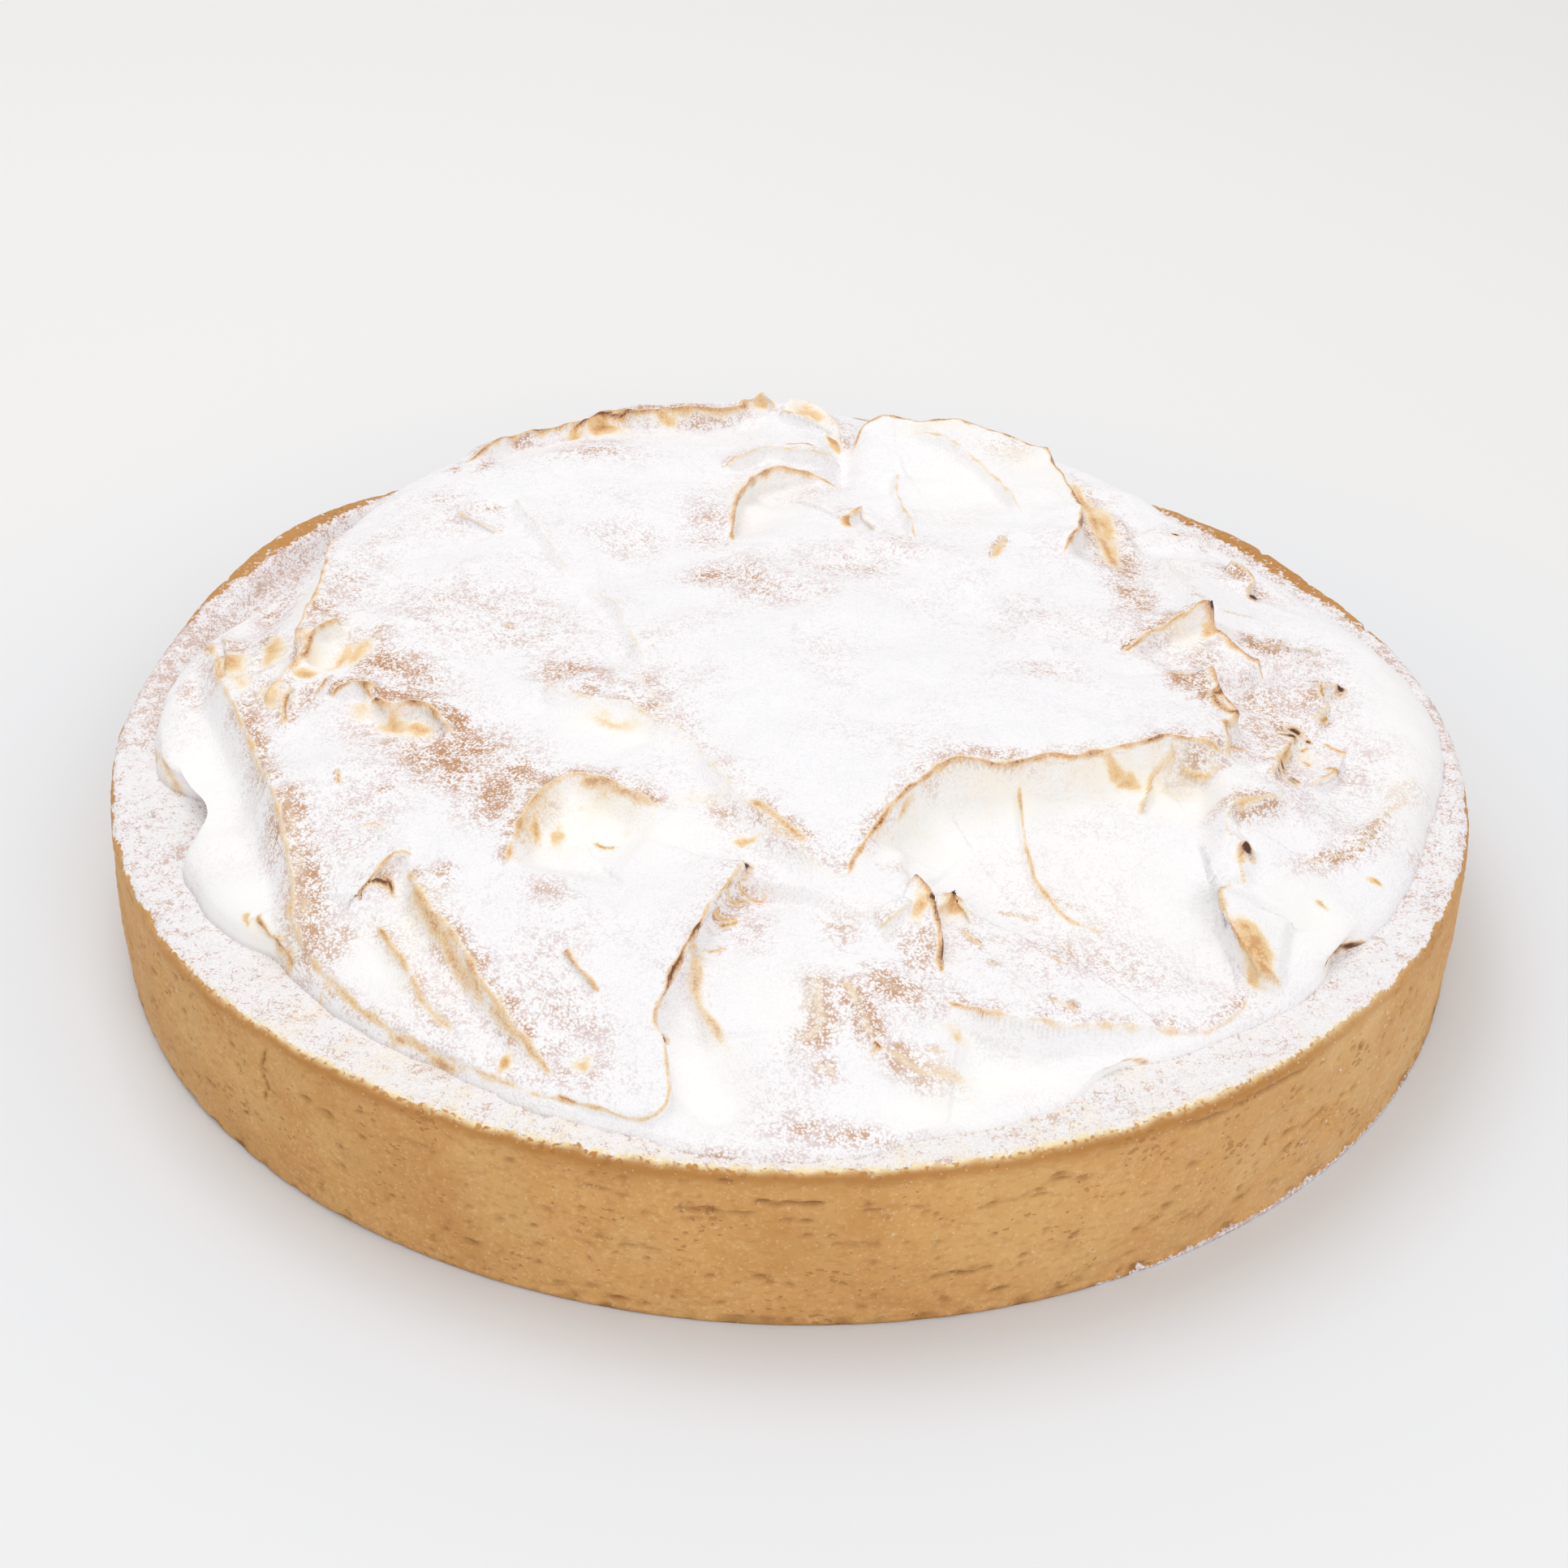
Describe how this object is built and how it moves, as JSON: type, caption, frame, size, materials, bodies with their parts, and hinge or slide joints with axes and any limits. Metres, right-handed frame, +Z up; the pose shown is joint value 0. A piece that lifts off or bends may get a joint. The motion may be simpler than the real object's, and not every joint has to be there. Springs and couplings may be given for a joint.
{
  "type": "lemon meringue pie",
  "caption": "Whole round pie: straight-sided golden shortcrust case under a thick, torn and folded spread of toasted meringue",
  "frame": {"origin": "centre of the pie's flat base, on the surface it stands on", "axes": "+Z up through the middle of the pie, -Y to the front, +X to the right"},
  "size_m": [0.22, 0.22, 0.0475],
  "materials": {
    "pastry": "dry baked shortcrust, golden brown, with fine pores",
    "meringue": "soft white meringue, toasted golden to brown on its crests, dusted with icing sugar"
  },
  "bodies": {
    "root": {"pastry_case": "pastry", "meringue_topping": "meringue"}
  },
  "joints": []
}
